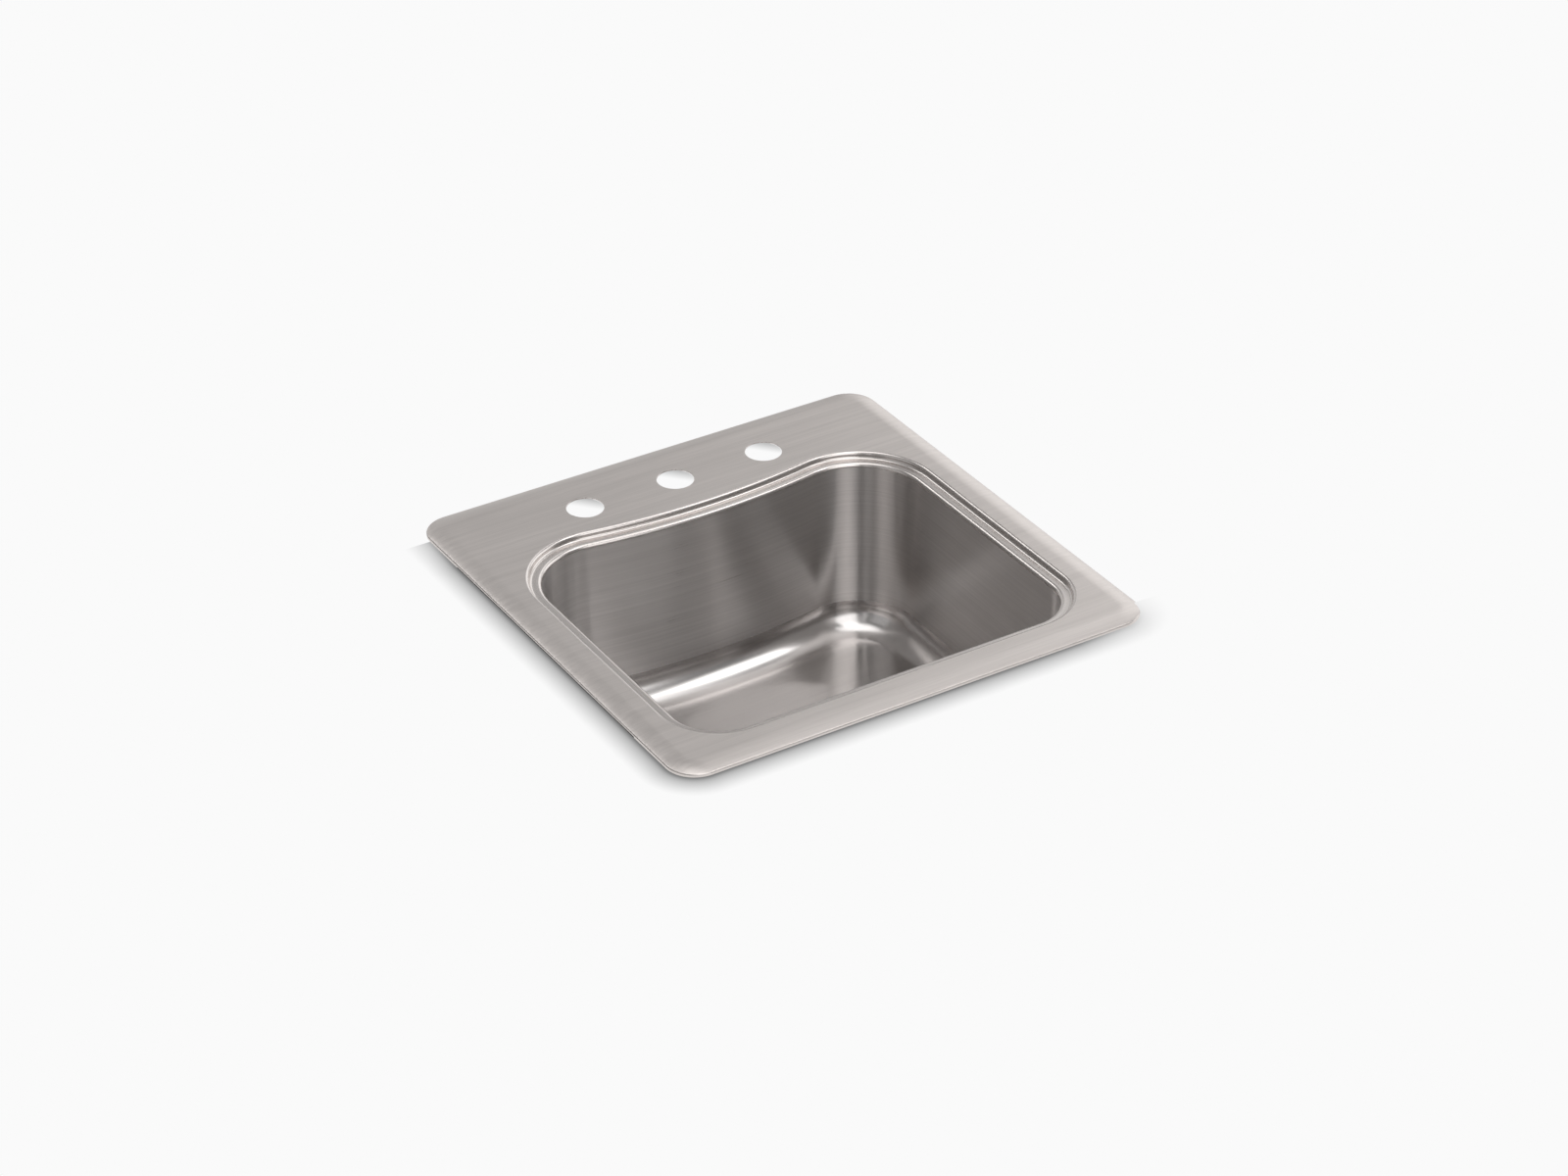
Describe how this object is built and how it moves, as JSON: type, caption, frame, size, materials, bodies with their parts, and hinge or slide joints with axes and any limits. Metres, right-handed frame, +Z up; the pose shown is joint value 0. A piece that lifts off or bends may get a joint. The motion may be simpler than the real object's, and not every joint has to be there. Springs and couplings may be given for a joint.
{
  "type": "drop-in kitchen sink",
  "caption": "Square drop-in steel sink with a deep round-cornered bowl, a faucet deck, a basket strainer drain and sliding hold-down clamps under the rim.",
  "frame": {"origin": "centre of the plane that the rim rests on, level with the worktop's upper face", "axes": "+Z up out of the bowl, +Y towards the faucet holes at the back, +X to the right for someone standing at the front"},
  "size_m": [0.508, 0.508, 0.3299],
  "materials": {
    "brushed_steel": "satin brushed, grain along X on the deck",
    "drain_steel": "polished",
    "tube_steel": "bright chrome",
    "galvanised_steel": "galvanised, spangled",
    "zinc_plated": "bright zinc plate",
    "cast_zinc": "dull die-cast zinc",
    "black_rubber": "matt",
    "fibre": "pressed fibre",
    "seal_foam": "closed-cell foam",
    "damping_pad": "matt bitumen pad"
  },
  "bodies": {
    "sink": {"sink_bowl": "brushed_steel", "rim_seal": "seal_foam", "rail_left": "galvanised_steel", "rail_right": "galvanised_steel", "rail_front": "galvanised_steel", "rail_back": "galvanised_steel", "pad_left": "damping_pad", "pad_right": "damping_pad", "pad_front": "damping_pad", "pad_bottom": "damping_pad", "strainer_body": "drain_steel", "drain_gasket": "black_rubber", "friction_ring": "fibre", "drain_locknut": "cast_zinc", "tail_washer": "black_rubber", "coupling_nut": "cast_zinc", "tailpiece": "tube_steel"},
    "strainer_basket": {"basket": "drain_steel", "basket_post": "drain_steel", "basket_stopper": "black_rubber"},
    "bolt_left_front": {"clamp_bolt_left_front": "zinc_plated"},
    "dog_left_front": {"clamp_dog_left_front": "zinc_plated"},
    "nut_left_front": {"clamp_nut_left_front": "zinc_plated"},
    "bolt_left_back": {"clamp_bolt_left_back": "zinc_plated"},
    "dog_left_back": {"clamp_dog_left_back": "zinc_plated"},
    "nut_left_back": {"clamp_nut_left_back": "zinc_plated"},
    "bolt_right_front": {"clamp_bolt_right_front": "zinc_plated"},
    "dog_right_front": {"clamp_dog_right_front": "zinc_plated"},
    "nut_right_front": {"clamp_nut_right_front": "zinc_plated"},
    "bolt_right_back": {"clamp_bolt_right_back": "zinc_plated"},
    "dog_right_back": {"clamp_dog_right_back": "zinc_plated"},
    "nut_right_back": {"clamp_nut_right_back": "zinc_plated"},
    "bolt_front_left": {"clamp_bolt_front_left": "zinc_plated"},
    "dog_front_left": {"clamp_dog_front_left": "zinc_plated"},
    "nut_front_left": {"clamp_nut_front_left": "zinc_plated"},
    "bolt_front_right": {"clamp_bolt_front_right": "zinc_plated"},
    "dog_front_right": {"clamp_dog_front_right": "zinc_plated"},
    "nut_front_right": {"clamp_nut_front_right": "zinc_plated"},
    "bolt_back_left": {"clamp_bolt_back_left": "zinc_plated"},
    "dog_back_left": {"clamp_dog_back_left": "zinc_plated"},
    "nut_back_left": {"clamp_nut_back_left": "zinc_plated"},
    "bolt_back_right": {"clamp_bolt_back_right": "zinc_plated"},
    "dog_back_right": {"clamp_dog_back_right": "zinc_plated"},
    "nut_back_right": {"clamp_nut_back_right": "zinc_plated"}
  },
  "joints": [
    {"name": "basket_lift", "type": "slide", "parent": "sink", "child": "strainer_basket", "axis": [0, 0, 1], "range_m": [0, 0.08]},
    {"name": "slide_left_front", "type": "slide", "parent": "sink", "child": "bolt_left_front", "axis": [0, 1, 0], "range_m": [-0.06, 0.06]},
    {"name": "lift_left_front", "type": "slide", "parent": "bolt_left_front", "child": "dog_left_front", "axis": [0, 0, 1], "range_m": [0, 0.022]},
    {"name": "turn_left_front", "type": "hinge", "parent": "dog_left_front", "child": "nut_left_front", "pos_m": [-0.228, -0.08, -0.0466], "axis": [0, 0, 1], "range_deg": [0, 9900]},
    {"name": "slide_left_back", "type": "slide", "parent": "sink", "child": "bolt_left_back", "axis": [0, 1, 0], "range_m": [-0.06, 0.06]},
    {"name": "lift_left_back", "type": "slide", "parent": "bolt_left_back", "child": "dog_left_back", "axis": [0, 0, 1], "range_m": [0, 0.022]},
    {"name": "turn_left_back", "type": "hinge", "parent": "dog_left_back", "child": "nut_left_back", "pos_m": [-0.228, 0.08, -0.0466], "axis": [0, 0, 1], "range_deg": [0, 9900]},
    {"name": "slide_right_front", "type": "slide", "parent": "sink", "child": "bolt_right_front", "axis": [0, 1, 0], "range_m": [-0.06, 0.06]},
    {"name": "lift_right_front", "type": "slide", "parent": "bolt_right_front", "child": "dog_right_front", "axis": [0, 0, 1], "range_m": [0, 0.022]},
    {"name": "turn_right_front", "type": "hinge", "parent": "dog_right_front", "child": "nut_right_front", "pos_m": [0.228, -0.08, -0.0466], "axis": [0, 0, 1], "range_deg": [0, 9900]},
    {"name": "slide_right_back", "type": "slide", "parent": "sink", "child": "bolt_right_back", "axis": [0, 1, 0], "range_m": [-0.06, 0.06]},
    {"name": "lift_right_back", "type": "slide", "parent": "bolt_right_back", "child": "dog_right_back", "axis": [0, 0, 1], "range_m": [0, 0.022]},
    {"name": "turn_right_back", "type": "hinge", "parent": "dog_right_back", "child": "nut_right_back", "pos_m": [0.228, 0.08, -0.0466], "axis": [0, 0, 1], "range_deg": [0, 9900]},
    {"name": "slide_front_left", "type": "slide", "parent": "sink", "child": "bolt_front_left", "axis": [1, 0, 0], "range_m": [-0.06, 0.06]},
    {"name": "lift_front_left", "type": "slide", "parent": "bolt_front_left", "child": "dog_front_left", "axis": [0, 0, 1], "range_m": [0, 0.022]},
    {"name": "turn_front_left", "type": "hinge", "parent": "dog_front_left", "child": "nut_front_left", "pos_m": [-0.08, -0.228, -0.0466], "axis": [0, 0, 1], "range_deg": [0, 9900]},
    {"name": "slide_front_right", "type": "slide", "parent": "sink", "child": "bolt_front_right", "axis": [1, 0, 0], "range_m": [-0.06, 0.06]},
    {"name": "lift_front_right", "type": "slide", "parent": "bolt_front_right", "child": "dog_front_right", "axis": [0, 0, 1], "range_m": [0, 0.022]},
    {"name": "turn_front_right", "type": "hinge", "parent": "dog_front_right", "child": "nut_front_right", "pos_m": [0.08, -0.228, -0.0466], "axis": [0, 0, 1], "range_deg": [0, 9900]},
    {"name": "slide_back_left", "type": "slide", "parent": "sink", "child": "bolt_back_left", "axis": [1, 0, 0], "range_m": [-0.06, 0.06]},
    {"name": "lift_back_left", "type": "slide", "parent": "bolt_back_left", "child": "dog_back_left", "axis": [0, 0, 1], "range_m": [0, 0.022]},
    {"name": "turn_back_left", "type": "hinge", "parent": "dog_back_left", "child": "nut_back_left", "pos_m": [-0.08, 0.228, -0.0466], "axis": [0, 0, 1], "range_deg": [0, 9900]},
    {"name": "slide_back_right", "type": "slide", "parent": "sink", "child": "bolt_back_right", "axis": [1, 0, 0], "range_m": [-0.06, 0.06]},
    {"name": "lift_back_right", "type": "slide", "parent": "bolt_back_right", "child": "dog_back_right", "axis": [0, 0, 1], "range_m": [0, 0.022]},
    {"name": "turn_back_right", "type": "hinge", "parent": "dog_back_right", "child": "nut_back_right", "pos_m": [0.08, 0.228, -0.0466], "axis": [0, 0, 1], "range_deg": [0, 9900]}
  ],
  "couplings": [
    {"joint": "turn_left_front", "follows": "lift_left_front", "rad_per_m": 7854},
    {"joint": "turn_left_back", "follows": "lift_left_back", "rad_per_m": 7854},
    {"joint": "turn_right_front", "follows": "lift_right_front", "rad_per_m": 7854},
    {"joint": "turn_right_back", "follows": "lift_right_back", "rad_per_m": 7854},
    {"joint": "turn_front_left", "follows": "lift_front_left", "rad_per_m": 7854},
    {"joint": "turn_front_right", "follows": "lift_front_right", "rad_per_m": 7854},
    {"joint": "turn_back_left", "follows": "lift_back_left", "rad_per_m": 7854},
    {"joint": "turn_back_right", "follows": "lift_back_right", "rad_per_m": 7854}
  ]
}
